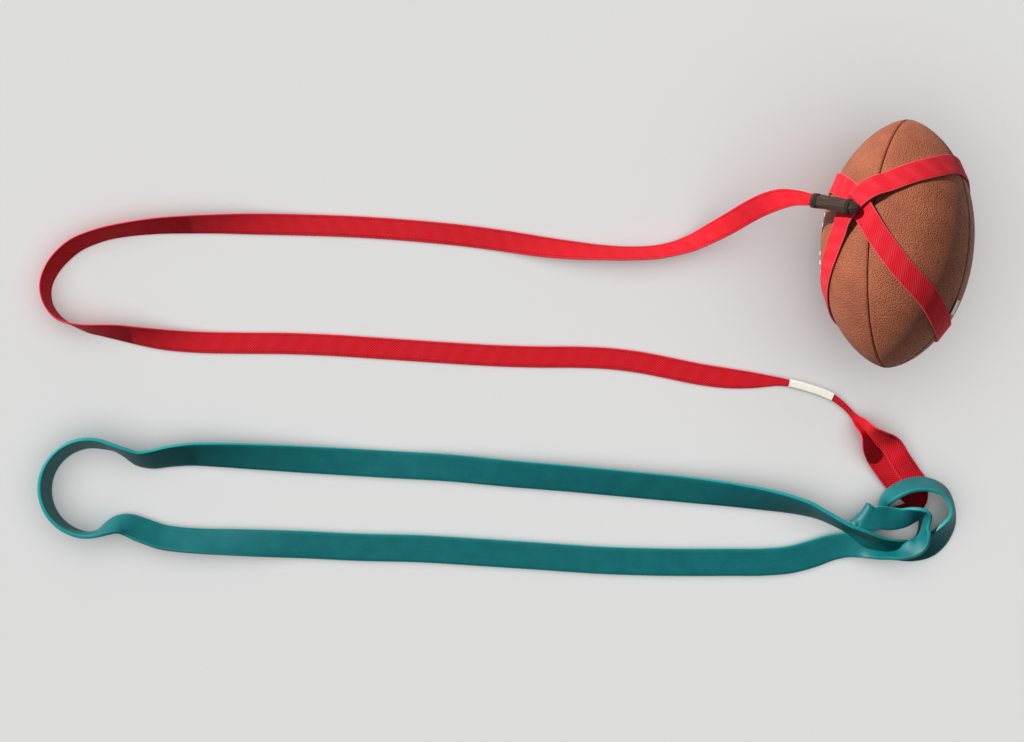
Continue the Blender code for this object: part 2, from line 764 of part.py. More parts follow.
def sleeve(name, centres, across, half_width, half_depth, wall, finish):
    """An open oval tube along straight centres."""
    along = (centres[-1] - centres[0]).normalized()
    points, faces = [], []
    sides = 16
    for grow in (0.0, -wall):
        for centre in centres:
            points += oval_ring(centre, along, across, half_width + grow, half_depth + grow, sides)
    count = len(centres)

    def at(deep, i, k):
        return (deep * count + i) * sides + k % sides

    for k in range(sides):
        for i in range(count - 1):
            for deep in (0, 1):
                faces.append((at(deep, i, k), at(deep, i, k + 1), at(deep, i + 1, k + 1), at(deep, i + 1, k)))
        for i in (0, count - 1):
            faces.append((at(0, i, k), at(0, i, k + 1), at(1, i, k + 1), at(1, i, k)))
    return add_object(name, mesh_of(name, points, faces), finish)


def make_keeper(frame):
    """The sleeve that gathers the harness into the tether, the strap inside it and its two whippings."""
    matrix = frame.matrix_world
    root = matrix @ ball_point(*KEEPER_ROOT)
    outward = (matrix.to_3x3() @ ball_normal(*KEEPER_ROOT)).normalized()
    stack = 2 * (WEBBING_THICKNESS + GAP) + HARNESS_WIDTH**2 / 2 / BALL_DIAMETER + 2 * GAP
    start = root + outward * (PULL + stack + KEEPER_DEPTH / 2 + KEEPER_WALL)
    heading = Vector((*KEEPER_HEADING, 0)).normalized()
    along = heading * math.cos(KEEPER_SLOPE) - Vector((0, 0, 1)) * math.sin(KEEPER_SLOPE)
    across = Vector((-heading.y, heading.x, 0))
    length = KEEPER_REACH / math.cos(KEEPER_SLOPE)
    centres = [start + along * length * i / 4 for i in range(5)]
    half_width, half_depth = KEEPER_WIDTH / 2, KEEPER_DEPTH / 2
    sleeve("keeper_sleeve", centres, across, half_width, half_depth, KEEPER_WALL, WRAP)
    whipping = [("keeper_whipping_ball", 0.10), ("keeper_whipping_mouth", 0.86)]
    wall = WEBBING_THICKNESS * 0.4
    for name, share in whipping:
        ends = [start + along * (length * share + WHIPPING_LENGTH * k / 2) for k in range(3)]
        sleeve(name, ends, across, half_width + GAP + wall, half_depth + GAP + wall, wall, THREAD)
    inner = half_width - KEEPER_WALL - GAP
    normal = along.cross(across)
    sections = [
        (start + along * (length * share), across, normal, 2 * inner * 0.86) for share in (0.02, 0.3, 0.6, 0.96)
    ]
    mesh = strip_mesh("tether_root", sections, WEBBING_THICKNESS * 1.6)
    add_object("tether_root", mesh, WEBBING)
    return start + along * length, along


def arc_rows():
    """The anchor loop: a round bend of the band standing nearly on its edge."""
    first, last = ANCHOR_ARC
    rows = []
    for i in range(ANCHOR_ROWS + 1):
        turn = first + (last - first) * i / ANCHOR_ROWS
        x = ANCHOR_CENTRE[0] + ANCHOR_RADIUS * math.cos(turn)
        y = ANCHOR_CENTRE[1] + ANCHOR_RADIUS * math.sin(turn)
        rows.append((x, y, 0.3, ANCHOR_ROLL - ANCHOR_LEAN * math.sin(turn)))
    return ANCHOR_START + rows + ANCHOR_END


def make_tether(mouth, along):
    """The tether from just outside the keeper, round its fold, to the eye on the band."""
    start = (mouth + along * SWING_GAP) / MM
    swing = (mouth.x, mouth.y, 0)
    fold = (LOWER_RUN[0][0] * MM, LOWER_RUN[0][1] * MM, 0)
    first = (start.x, start.y, start.z - WEBBING_THICKNESS / MM, *MOUTH_ROLL_AND_SHARE)
    groups = [
        ("tether_upper", [first, *UPPER_RUN], 0, swing),
        ("tether_lower", LOWER_RUN, FOLD_GAP, fold),
        ("tether_eye", EYE_ROUTE, GAP, fold),
    ]
    strip_pieces(groups, WEBBING_WIDTH, WEBBING_THICKNESS, WEBBING)
    sections, _ = sections_of(LABEL_ROUTE, LABEL_WIDTH, LABEL_DEPTH)
    mesh = sleeve_mesh("tether_label", sections, LABEL_DEPTH, LABEL_THICKNESS)
    add_object("tether_label", mesh, LABEL, fold)


def make_band():
    """The loop band: two legs between the hitch on the eye and the round bend that is anchored."""
    hook = (HOOK_POINT[0] * MM, HOOK_POINT[1] * MM, 0)
    anchor = (ANCHOR_START[0][0] * MM, ANCHOR_CENTRE[1] * MM, 0)
    groups = [
        ("band_leg_upper", UPPER_LEG, GAP, hook),
        ("band_hitch", HITCH_ROUTE, GAP, hook),
        ("band_leg_lower", LOWER_LEG, GAP, hook),
        ("band_anchor_loop", arc_rows(), GAP, anchor),
    ]
    strip_pieces(groups, BAND_WIDTH, BAND_THICKNESS, LATEX, closed=True)


def main():
    clear_scene()
    frame = bpy.data.objects.new("ball_frame", None)
    bpy.context.scene.collection.objects.link(frame)
    frame.location = (BALL_X, BALL_Y, BALL_Z)
    frame.rotation_euler = (0, 0, BALL_TURN)
    bpy.context.view_layer.update()
    make_ball(frame)
    make_laces(frame)
    make_harness(frame)
    make_tag(frame)
    mouth, along = make_keeper(frame)
    make_tether(mouth, along)
    make_band()


main()
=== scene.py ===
"""Looks for a throwing trainer: a football in a webbing harness, its tether, and a flat loop band."""

import json
import math

import bmesh
import bpy
from mathutils import Matrix, Vector, noise

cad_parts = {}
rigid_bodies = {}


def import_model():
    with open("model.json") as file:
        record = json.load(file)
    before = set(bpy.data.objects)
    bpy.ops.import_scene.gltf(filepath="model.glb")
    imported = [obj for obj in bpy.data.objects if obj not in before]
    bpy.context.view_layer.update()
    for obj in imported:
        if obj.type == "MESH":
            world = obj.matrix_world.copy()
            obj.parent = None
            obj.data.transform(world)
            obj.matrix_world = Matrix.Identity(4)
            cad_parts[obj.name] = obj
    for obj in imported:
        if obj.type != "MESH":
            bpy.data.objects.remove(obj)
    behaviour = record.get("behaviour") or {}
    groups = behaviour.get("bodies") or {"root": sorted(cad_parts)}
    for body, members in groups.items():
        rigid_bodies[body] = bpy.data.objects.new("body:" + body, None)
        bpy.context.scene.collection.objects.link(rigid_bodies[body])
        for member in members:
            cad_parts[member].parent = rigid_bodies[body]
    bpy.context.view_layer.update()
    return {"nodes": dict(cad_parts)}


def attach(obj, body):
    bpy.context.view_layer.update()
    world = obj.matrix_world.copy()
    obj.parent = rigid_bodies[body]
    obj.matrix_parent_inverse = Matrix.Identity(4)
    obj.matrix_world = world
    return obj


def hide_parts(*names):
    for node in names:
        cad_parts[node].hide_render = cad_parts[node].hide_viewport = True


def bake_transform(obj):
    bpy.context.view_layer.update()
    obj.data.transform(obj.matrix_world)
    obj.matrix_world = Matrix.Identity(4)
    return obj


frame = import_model()

MM = 0.001

# The real sizes, in metres, as in the CAD model.
GAP = 0.0003
BALL_LENGTH = 0.279
BALL_DIAMETER = 0.168
PROFILE_POWER = 2.1
PROFILE_ROOT = 0.62
TIP_REACH = 0.9995  # share of the half length that the panels cover
SEAM_GAP = 0.0006
VALVE_HOLE = 0.0040
LACE_WIDTH = 0.0055
LACE_THICKNESS = 0.0022
LACE_SPAN = 0.026
LACE_PITCH = 0.0105
LACE_CROSSINGS = 8
LACE_CENTRE = -0.010
WEBBING_WIDTH = 0.025
WEBBING_THICKNESS = 0.002
HARNESS_WIDTH = 0.0245
HARNESS_SECTIONS = 240
BAND_WIDTH = 0.032
BAND_THICKNESS = 0.0045
KEEPER_WIDTH = 0.0150
KEEPER_DEPTH = 0.0100
KEEPER_WALL = 0.0012
KEEPER_REACH = 0.0410
KEEPER_SLOPE = math.radians(44)
WHIPPING_LENGTH = 0.0050
LABEL_WIDTH = 0.0100
LABEL_DEPTH = 0.0061
LABEL_THICKNESS = 0.0006
TAG_LENGTH = 0.0160
TAG_WIDTH = 0.0095
SWING_GAP = 0.0040
BALL_X, BALL_Y = 0.4450, 0.1215
BALL_TURN = math.radians(-5.3)
BALL_Z = BALL_DIAMETER / 2 + WEBBING_THICKNESS + GAP + HARNESS_WIDTH**2 / 4 / BALL_DIAMETER
SEAM_ANGLES = [math.radians(a) for a in (-122, -32, 55, 145)]
VALVE_ANGLE = math.radians(100)
VALVE_STATION = 0.020
FRONT_CROSSING = (0.0361, math.radians(-44))
PULL = 0.004
PULL_REACH = 0.070
KEEPER_ROOT = (0.0260, math.radians(-40))
KEEPER_HEADING = (-0.960, 0.280)
# Where each harness loop's middle lies round the ball: angle in degrees, and distance along the ball's axis
# in millimetres.
HARNESS_KNOTS = {
    "harness_loop_upper": [
        (-44, 36.1), (-15, 64), (16, 80), (45, 88), (68, 86), (90, 78), (115, 40), (140, -18), (165, -60),
        (190, -80), (215, -87), (240, -84), (255, -76), (270, -60), (290, -26),
    ],
    "harness_loop_lower": [
        (-44, 36.1), (-22.7, -4), (-6, -32), (16, -57.4), (45.5, -84), (68, -93), (90, -94.5), (115, -89.9),
        (140, -75.2), (165, -46.3), (190, -5.2), (215, 31.5), (240, 53.2), (270, 60.6), (290, 55.6),
    ],
}
TAG_POINT = (-0.067, math.radians(59))
UPRIGHT_SHARE = 0.35
FINE_STEP = 0.004  # spacing of the sections along a strap

# How the straps and the ball are made finer than in the CAD model, in metres.
WEBBING_EDGE = 0.0009
LACE_EDGE = 0.0009
BAND_EDGE = 0.0007
TAG_EDGE = 0.0002
LABEL_CORNER = 0.0018
SEAM_ROLL = [(0.0, 0.0026), (0.0002, 0.0015), (0.0006, 0.0008), (0.0013, 0.0003), (0.0024, 0.0)]
VALVE_DIMPLE_RIM = 0.0018
VALVE_DIMPLE_DEPTH = 0.0022
THREAD_THICKNESS = 0.00085

# Studio.
WORLD_LIGHT = 0.23
KEY_LIGHT = 5.6
FLOOR_LIGHT = 2.3
KEY_FROM = (-0.70, 0.52, 0.48)
FLOOR_HALF = 6.0
FLOOR_DROP = 0.0006  # keeps the floor just under the straps
CAMERA_PLACE = (0.0143, -0.0209, 2.2)
CAMERA_LENS = 66.4

# Each strap's rows: x, y and height of the lower edge in millimetres, roll in degrees, and share of the full
# width.
MOUTH_ROLL_AND_SHARE = (12, 0.58)
UPPER_RUN = [
    (330, 170.5, 107, 12, 0.72),
    (313, 170.5, 93, 6, 0.94),
    (298, 166.5, 78, 2),
    (283, 159.5, 61, 0),
    (263, 148, 39, 10),
    (242, 137, 19, 24),
    (221, 127, 5, 38),
    (204, 121.5, 0.8, 46),
    (187, 117.7, 0.2, 48),
    (152, 115.4, 0.2, 48),
    (117, 116.6, 0.2, 42),
    (82, 119.5, 0.2, 28),
    (47, 123.8, 0.3, 14),
    (12, 129.3, 0.5, 4),
    (-23, 134.3, 0.5, 0),
    (-93, 141.7, 0.4, 0),
    (-163, 146.7, 0.2, 0),
    (-233, 149.2, 0.2, -4),
    (-281, 150, 0.2, -14),
    (-326, 150, 0.2, -30),
    (-361, 149.2, 0.2, -38),
    (-396, 147.5, 0.2, -46),
    (-431, 143.5, 0.2, -54),
    (-457, 138.5, 0.2, -57),
    (-473, 133.5, 0.2, -56),
    (-491, 125.5, 0.2, -54),
    (-506, 113.5, 0.2, -54),
    (-519, 97, 0.2, -60),
    (-526, 77, 0.2, -70),
    (-523, 57, 0.2, -80),
]
LOWER_RUN = [
    (-510, 40, 0.2, -86),
    (-489, 31, 0.2, 80),
    (-477, 28, 0.2, 70),
    (-462, 26.3, 0.2, 60),
    (-442, 23.8, 0.2, 46),
    (-419, 19.8, 0.2, 34),
    (-396, 16.3, 0.2, 20),
    (-349, 12.5, 0.2, 4),
    (-303, 11.6, 0.2, 0),
    (-251, 11.2, 0.2, 0),
    (-198, 9.2, 0.2, 0),
    (-128, 4.7, 0.2, 0),
    (-58, 0, 0.2, 0),
    (-6, -3, 0.2, 0),
    (47, -4.6, 0.2, 0),
    (91, -4.8, 0.2, 0),
    (129, -6.6, 0.2, 0),
    (164, -11, 0.2, 0),
    (194, -16.8, 0.2, 0),
    (229, -24, 0.2, 0),
    (261, -28.8, 0.2, 0, 0.96),
    (289, -31.3, 0.2, 0, 0.80),
    (311, -32.5, 0.3, 0, 0.56),
]
# The eye starts as the lower layer in the label sleeve, goes round the band and comes back on top.
EYE_ROUTE = [
    (325, -33.3, 0.8, 0, 0.40),
    (339, -35.6, 1.0, 0, 0.32),
    (351, -38.6, 1.0, 0, 0.31),
    (363, -42.2, 1.0, 0, 0.31),
    (375, -46.2, 1.0, 0, 0.31),
    (387, -51.4, 1.0, 0, 0.31),
    (397, -58.5, 0.8, 0, 0.28),
    (405, -66, 0.6, 0, 0.26),
    (412, -74.5, 0.5, -20, 0.30),
    (416.5, -84, 0.5, -50, 0.62),
    (423, -94, 0.5, -60, 0.95),
    (427.5, -107.5, 0.4, -42),
    (436, -119, 0.4, -16),
    (448.5, -136.5, 0.4, -8),
    (462.5, -153, 0.4, 0, 0.98),
    (474, -163, 0.4, 0, 0.85),
    (481, -173, 0.5, 0, 0.70),
    (477, -182, 0.5, 0, 0.60),
    (465, -186, 0.5, 0, 0.56),
    (452, -186.5, 0.5, 0, 0.54),
    (442, -185.4, 0.6, 0, 0.48),
    (435, -184.6, 1.8, 0, 0.46),
    (431, -184.4, 7.5, 0, 0.46),
    (434.5, -184.6, 14.2, 0, 0.46),
    (441, -185.3, 15.4, 0, 0.50),
    (454, -184.6, 14.6, 0, 0.52),
    (468, -182.5, 10.8, 0, 0.60),
    (480, -179, 7.8, 0, 0.68),
    (486.5, -171, 5.4, 0, 0.80),
    (487, -162, 4.0, 0, 0.86),
    (485.5, -152, 3.2, 0, 0.93),
    (477, -141, 3.4, -4),
    (465, -124, 4.6, -14),
    (453.5, -106.5, 5, -24),
    (440.5, -98, 4.4, -46),
    (430.5, -91, 3.4, -60, 0.95),
    (423, -82.5, 3.2, -46, 0.60),
    (414, -75, 3.0, -16, 0.30),
    (405.5, -66.5, 3.1, 0, 0.26),
    (397, -58.5, 3.3, 0, 0.28),
    (387, -51.4, 3.4, 0, 0.31),
    (375, -46.2, 3.4, 0, 0.31),
    (363, -42.2, 3.4, 0, 0.31),
    (351, -38.6, 3.4, 0, 0.31),
    (341, -36.1, 3.4, 0, 0.32),
]
# The label is a sewn sleeve round the two folded layers where the eye starts.
LABEL_ROUTE = [
    (336.5, -35, 0.1, 0),
    (351, -38.6, 0.1, 0),
    (363, -42.2, 0.1, 0),
    (375, -46.2, 0.1, 0),
    (387, -51.4, 0.1, 0),
]
# The band's upper leg runs from its anchor loop to the hitch.
UPPER_LEG = [
    (-403, -123, 0.3, 50),
    (-385, -120, 0.3, 44),
    (-361, -117.5, 0.3, 38),
    (-326, -118, 0.3, 30),
    (-279, -120.5, 0.3, 20),
    (-209, -124.7, 0.3, 8),
    (-128, -129.5, 0.3, 0),
    (-58, -133.5, 0.3, 4),
    (12, -140, 0.3, 10),
    (82, -145.8, 0.3, 14),
    (152, -152.3, 0.3, 16),
    (222, -159, 0.3, 20),
    (268, -164, 0.3, 30),
    (307, -169.5, 0.3, 40),
    (329, -173.3, 0.3, 48),
]
# The hitch: from the upper leg, once round as an open ring, folded back over itself and out to the lower leg.
HITCH_ROUTE = [
    (344, -176.7, 0.3, 55),
    (359, -181, 0.3, 62),
    (371, -186, 0.4, 70),
    (383, -191.7, 0.8, 74),
    (394, -197.6, 1.6, 76),
    (405, -203.5, 3.2, 74, 0.94),
    (416, -209.5, 5.2, 62, 0.86),
    (429, -217, 5.6, 48, 0.80),
    (445, -224, 4.2, 34, 0.78),
    (462, -228.5, 1.6, 18, 0.78),
    (479, -229.5, 0.5, 8, 0.80),
    (493, -226.5, 0.5, 16, 0.84),
    (503.5, -219.5, 0.5, 32, 0.94),
    (512.5, -209.5, 0.5, 44),
    (519.5, -198.5, 0.8, 56),
    (523, -186.5, 1.5, 70),
    (521.5, -174, 3, 74),
    (515.5, -162.5, 5, 72),
    (505, -155, 6.6, 70),
    (493, -151.5, 7.4, 68),
    (480, -151.5, 7.8, 68),
    (468, -154.5, 7.6, 70),
    (457, -160.5, 6.6, 72, 0.94),
    (449, -168, 4.8, 56, 0.60),
    (445.5, -176, 3.6, 24, 0.38),
    (443.5, -185, 3.6, 6, 0.30),
    (440, -194.5, 3.6, 0, 0.28),
    (432.5, -200.5, 3.8, 0, 0.32),
    (425.5, -198, 4.6, 0, 0.42),
    (418.5, -191.5, 7.5, 0, 0.70),
    (416, -187.5, 14, 0, 0.92),
    (420, -187.5, 21, 0, 0.98),
    (426.5, -192.3, 21.5, 0, 0.84),
    (438, -190, 21.2, 0, 0.86),
    (451, -191.3, 19.5, 0, 0.84),
    (465, -190.5, 16, 14, 0.74),
    (477, -186.5, 14.2, 38, 0.70),
    (486.5, -185, 12.6, 64, 0.76),
    (490.5, -192.5, 6, 80, 0.82),
    (490.5, -203, 3, 82, 0.86),
    (489, -212.5, 5.4, 70, 0.84),
    (485, -220.5, 8.8, 50, 0.76),
    (477, -226, 11, 34, 0.68),
    (466, -231, 7.4, 48, 0.62),
    (453, -233, 1.6, 64, 0.62),
    (439, -230.5, 0.4, 44, 0.68),
    (423, -225.3, 0.4, 14, 0.82),
    (405, -223.5, 0.4, 4, 0.88),
    (387, -226, 0.3, 0, 0.94),
]
# The lower leg runs back from the hitch to the anchor loop.
LOWER_LEG = [
    (362, -234, 0.3, 0),
    (338, -240.3, 0.3, 0),
    (309, -243, 0.3, 0),
    (268, -243.4, 0.3, 0),
    (187, -243.2, 0.3, 0),
    (117, -241, 0.3, 0),
    (47, -236.4, 0.3, 0),
    (-23, -231.8, 0.3, 0),
    (-93, -227.6, 0.3, 0),
    (-163, -225.9, 0.3, 0),
    (-233, -222.6, 0.3, 3),
    (-271, -221.2, 0.3, 12),
    (-311, -219.6, 0.3, 24),
    (-349, -218, 0.3, 33),
    (-373, -216, 0.3, 35),
    (-391, -213.3, 0.3, 36),
]
ANCHOR_CENTRE = (-472.5, -157.5)
ANCHOR_RADIUS = 53.5
ANCHOR_ROLL = 80
ANCHOR_LEAN = 8  # how much steeper it stands at its near side than at its far side
ANCHOR_ARC = (math.radians(262), math.radians(78))  # start and end, going clockwise
ANCHOR_ROWS = 16
ANCHOR_START = [
    (-406, -208.3, 0.3, 38),
    (-419, -203.4, 0.3, 40),
    (-431, -199, 0.3, 46, 0.98),
    (-443, -198.6, 0.3, 58),
    (-455, -203.5, 0.3, 70),
    (-465, -208.5, 0.3, 82),
]
ANCHOR_END = [
    (-447, -109, 0.3, 76),
    (-432, -115.6, 0.3, 70),
    (-419, -122, 0.3, 60),
]


class Value:
    """A number or a vector in a material, which takes part in sums."""

    def __init__(self, finish, socket):
        self.finish = finish
        self.socket = socket

    def __add__(self, other):
        return self.finish.maths("ADD", self, other)

    __radd__ = __add__

    def __mul__(self, other):
        return self.finish.maths("MULTIPLY", self, other)

    __rmul__ = __mul__

    def __sub__(self, other):
        return self.finish.maths("SUBTRACT", self, other)

    def __rsub__(self, other):
        return self.finish.maths("SUBTRACT", other, self)

    def __truediv__(self, other):
        return self.finish.maths("DIVIDE", self, other)


class Finish:
    """A material under construction."""

    def __init__(self, name, **constants):
        self.material = bpy.data.materials.new(name)
        self.material.use_nodes = True
        self.tree = self.material.node_tree
        self.shader = self.tree.nodes["Principled BSDF"]
        for key, value in constants.items():
            self.shader.inputs[key.replace("_", " ")].default_value = value

    def plug(self, target, value):
        if isinstance(value, Value):
            self.tree.links.new(value.socket, target)
        elif isinstance(value, tuple) and len(value) == 3 and target.type == "RGBA":
            target.default_value = (*value, 1)
        else:
            target.default_value = value

    def node(self, kind, settings, inputs, output=0):
        made = self.tree.nodes.new(kind)
        for key, value in settings.items():
            setattr(made, key, value)
        for key, value in inputs.items():
            self.plug(made.inputs[key], value)
        return Value(self, made.outputs[output])

    def maths(self, operation, *values):
        return self.node("ShaderNodeMath", {"operation": operation}, dict(enumerate(values)))

    def clamped(self, value):
        return self.node("ShaderNodeClamp", {}, {0: value})

    def step(self, value, low, high):
        """0 below low, 1 above high, and smooth between."""
        settings = {"interpolation_type": "SMOOTHSTEP"}
        return self.node("ShaderNodeMapRange", settings, {0: value, 1: low, 2: high, 3: 0.0, 4: 1.0})

    def mix(self, share, first, second):
        settings = {"data_type": "RGBA", "clamp_factor": True}
        return self.node("ShaderNodeMix", settings, {0: share, 6: first, 7: second}, 2)

    def wave(self, distance, period):
        """Between 0 and 1, once each period."""
        return self.maths("SINE", distance * (2 * math.pi / period)) * 0.5 + 0.5

    def strap(self):
        """Distance across the strap from its middle, and along it, in metres."""
        both = self.node("ShaderNodeUVMap", {"uv_map": "strap"}, {})
        return tuple(self.node("ShaderNodeSeparateXYZ", {}, {0: both}, i) for i in (0, 1))

    def place(self):
        return self.node("ShaderNodeTexCoord", {}, {}, 3)

    def grain(self, where, scale, detail=2.0, roughness=0.5):
        inputs = {"Vector": where, "Scale": scale, "Detail": detail, "Roughness": roughness}
        return self.node("ShaderNodeTexNoise", {}, inputs)

    def flat(self, x, y, z=0.0):
        return self.node("ShaderNodeCombineXYZ", {}, {0: x, 1: y, 2: z})

    def finished(self, colour=None, roughness=None, height=None, distance=0.001, strength=1.0):
        if colour is not None:
            self.plug(self.shader.inputs["Base Color"], colour)
        if roughness is not None:
            self.plug(self.shader.inputs["Roughness"], roughness)
        if height is not None:
            inputs = {"Strength": strength, "Distance": distance, "Height": height}
            self.plug(self.shader.inputs["Normal"], self.node("ShaderNodeBump", {}, inputs))
        return self.material


def webbing_finish(name, width, lit, deep, edge_highlight, stitching):
    """Twill webbing: diagonal ribs, a dotted stitch row near each edge, painted sheen in broad diagonal
    bands, and a paler painted highlight along both edges.
    """
    finish = Finish(name, Sheen_Weight=0.04, Specular_IOR_Level=0.2)
    across, along = finish.strap()
    edge = width / 2 - finish.maths("ABSOLUTE", across)
    ribs = finish.wave(along + across * 0.9, 0.0031)
    picks = finish.wave(along - across * 1.4, 0.0013)
    row = 1 - finish.step(finish.maths("ABSOLUTE", edge - 0.0030), 0.0003, 0.0007)
    stitches = row * finish.step(finish.wave(along, 0.0038), 0.35, 0.65)
    # Painted sheen: broad diagonal bands, broken up by noise, lighten the colour towards a half-and-half mix
    # of the lit colour and the painted edge highlight.
    patches = finish.wave(along + across * 0.55, 0.0215)
    patches = patches * patches * 0.55 + finish.grain(finish.flat(along, across), 60.0) * 0.5
    cloudy = finish.grain(finish.flat(along * 0.35, across, 3.0), 240.0, 3.0)
    colour = finish.mix(patches * 0.42, lit, tuple(0.5 * a + 0.5 * b for a, b in zip(lit, edge_highlight)))
    colour = finish.mix((1 - ribs) * 0.36, colour, deep)
    colour = finish.mix(finish.step(cloudy, 0.55, 0.75) * 0.25, colour, deep)
    # Painted highlight along both edges of the strap.
    colour = finish.mix(1 - finish.step(edge, 0.0002, 0.0012), colour, edge_highlight)
    colour = finish.mix(stitches * stitching, colour, tuple(0.35 * c for c in deep))
    height = ribs * 0.6 + picks * 0.3 - stitches * stitching + cloudy * 0.3
    return finish.finished(colour, 0.62 + cloudy * 0.25, height, 0.0005, 0.8)


def latex_finish():
    """Moulded latex with a powdery bloom, faint flow lines along it and paler cut edges."""
    finish = Finish("latex_teal", Specular_IOR_Level=0.3)
    across, along = finish.strap()
    edge = BAND_WIDTH / 2 - finish.maths("ABSOLUTE", across)
    streaks = finish.grain(finish.flat(along * 6.0, across * 160.0), 1.0, 3.0)
    bloom = finish.grain(finish.flat(along, across, 1.0), 55.0, 5.0, 0.65)
    specks = finish.grain(finish.flat(along, across, 2.0), 900.0, 2.0)
    colour = finish.mix(finish.step(bloom, 0.35, 0.75) * 0.5, (0.0, 0.118, 0.132), (0.0, 0.160, 0.172))
    colour = finish.mix(finish.step(streaks, 0.5, 0.8) * 0.3, colour, (0.0, 0.085, 0.098))
    colour = finish.mix(1 - finish.step(edge, 0.0000, 0.0016), colour, (0.01, 0.26, 0.27))
    colour = finish.mix(finish.step(specks, 0.68, 0.8) * 0.4, colour, (0.03, 0.26, 0.27))
    height = streaks * 0.6 + specks * 0.3 + bloom * 0.4
    return finish.finished(colour, 0.40 + bloom * 0.22, height, 0.0004, 0.5)


def leather_finish():
    """Pebbled leather: raised cells with painted shade in the valleys between them, and colour that drifts.
    """
    finish = Finish("pebbled_leather", Specular_IOR_Level=0.45)
    where = finish.place()
    bent = finish.grain(where, 260.0, 2.0)
    sway = finish.flat(bent, bent, bent)
    offset = finish.node("ShaderNodeVectorMath", {"operation": "SCALE"}, {0: sway, 3: 0.0004})
    moved = finish.node("ShaderNodeVectorMath", {"operation": "ADD"}, {0: where, 1: offset})
    cells = finish.node("ShaderNodeTexVoronoi", {"feature": "F1"}, {"Vector": moved, "Scale": 720.0})
    pebble = 1 - finish.step(cells, 0.25, 0.85)
    drift = finish.grain(where, 30.0, 3.0, 0.5)
    fine = finish.grain(where, 900.0, 2.0)
    colour = finish.mix(finish.step(drift, 0.3, 0.72), (0.30, 0.074, 0.028), (0.40, 0.112, 0.046))
    # Painted shade in the valleys between the pebbles.
    colour = finish.mix((1 - pebble) * 0.50, colour, (0.15, 0.038, 0.016))
    colour = finish.mix(finish.step(fine, 0.6, 0.8) * 0.25, colour, (0.55, 0.24, 0.13))
    roughness = 0.44 + (1 - pebble) * 0.25 + drift * 0.1
    return finish.finished(colour, roughness, pebble + fine * 0.15, 0.0007, 0.85)


def lace_finish():
    finish = Finish("lace_white", Sheen_Weight=0.2)
    across, along = finish.strap()
    weave = finish.wave(along + across, 0.0011) * finish.wave(along - across, 0.0011)
    grime = finish.grain(finish.flat(along, across), 150.0, 3.0)
    colour = finish.mix(finish.step(grime, 0.45, 0.8) * 0.5, (0.78, 0.76, 0.70), (0.48, 0.42, 0.34))
    colour = finish.mix((1 - weave) * 0.15, colour, (0.4, 0.37, 0.32))
    return finish.finished(colour, 0.7 + grime * 0.1, weave, 0.0003, 0.7)


def label_finish(name):
    """Woven satin label: fine ribs across it."""
    finish = Finish(name, Sheen_Weight=0.15)
    across, along = finish.strap()
    ribs = finish.wave(along, 0.0009)
    soil = finish.grain(finish.flat(along, across), 190.0, 3.0)
    colour = finish.mix(finish.step(soil, 0.45, 0.8) * 0.35, (0.86, 0.85, 0.80), (0.62, 0.58, 0.50))
    colour = finish.mix((1 - ribs) * 0.10, colour, (0.55, 0.53, 0.48))
    return finish.finished(colour, 0.6 + soil * 0.1, ribs + soil * 0.5, 0.0002, 0.6)


def wrap_finish(name, dark, light, pitch):
    """Fibrous wrap: long fibres with paler threads standing out of them."""
    finish = Finish(name, Sheen_Weight=0.04)
    across, along = finish.strap()
    fibres = finish.grain(finish.flat(along * 60.0, across * pitch), 1.0, 4.0, 0.6)
    patches = finish.grain(finish.flat(along, across), 170.0, 3.0)
    colour = finish.mix(finish.step(fibres, 0.5, 0.72), dark, light)
    colour = finish.mix(finish.step(patches, 0.5, 0.8) * 0.4, colour, tuple(0.4 * c for c in dark))
    return finish.finished(colour, 0.75 + patches * 0.1, fibres + patches * 0.5, 0.0008, 1.0)


def moulded_finish(name, base, worn, scale):
    finish = Finish(name)
    where = finish.place()
    cloud = finish.grain(where, scale, 4.0, 0.6)
    fine = finish.grain(where, scale * 12, 2.0)
    colour = finish.mix(finish.step(cloud, 0.4, 0.7) * 0.6, base, worn)
    return finish.finished(colour, 0.6 + fine * 0.15, fine + cloud * 0.5, 0.0004, 0.6)


def floor_finish():
    finish = Finish("pale_floor", Specular_IOR_Level=0.1)
    cloud = finish.grain(finish.place(), 3.0, 3.0)
    colour = finish.mix(cloud, (0.735, 0.735, 0.730), (0.755, 0.755, 0.750))
    return finish.finished(colour, 0.9 + cloud * 0.05, finish.grain(finish.place(), 400.0), 0.0001, 0.1)


def hermite(values, steps, fractions):
    """Smooth values through a list, whose neighbours are steps apart."""
    slopes = []
    for i in range(len(values)):
        before = (values[i] - values[i - 1]) / steps[i - 1] if i else None
        after = (values[i + 1] - values[i]) / steps[i] if i < len(steps) else None
        if before is None or after is None:
            slopes.append(after if before is None else before)
        else:
            slopes.append((before * steps[i] + after * steps[i - 1]) / (steps[i] + steps[i - 1]))
    made = []
    for i, t in fractions:
        if i == len(steps):
            made.append(values[i])
            continue
        h = steps[i]
        made.append(
            values[i] * (2 * t**3 - 3 * t**2 + 1)
            + slopes[i] * h * (t**3 - 2 * t**2 + t)
            + values[i + 1] * (3 * t**2 - 2 * t**3)
            + slopes[i + 1] * h * (t**3 - t**2)
        )
    return made


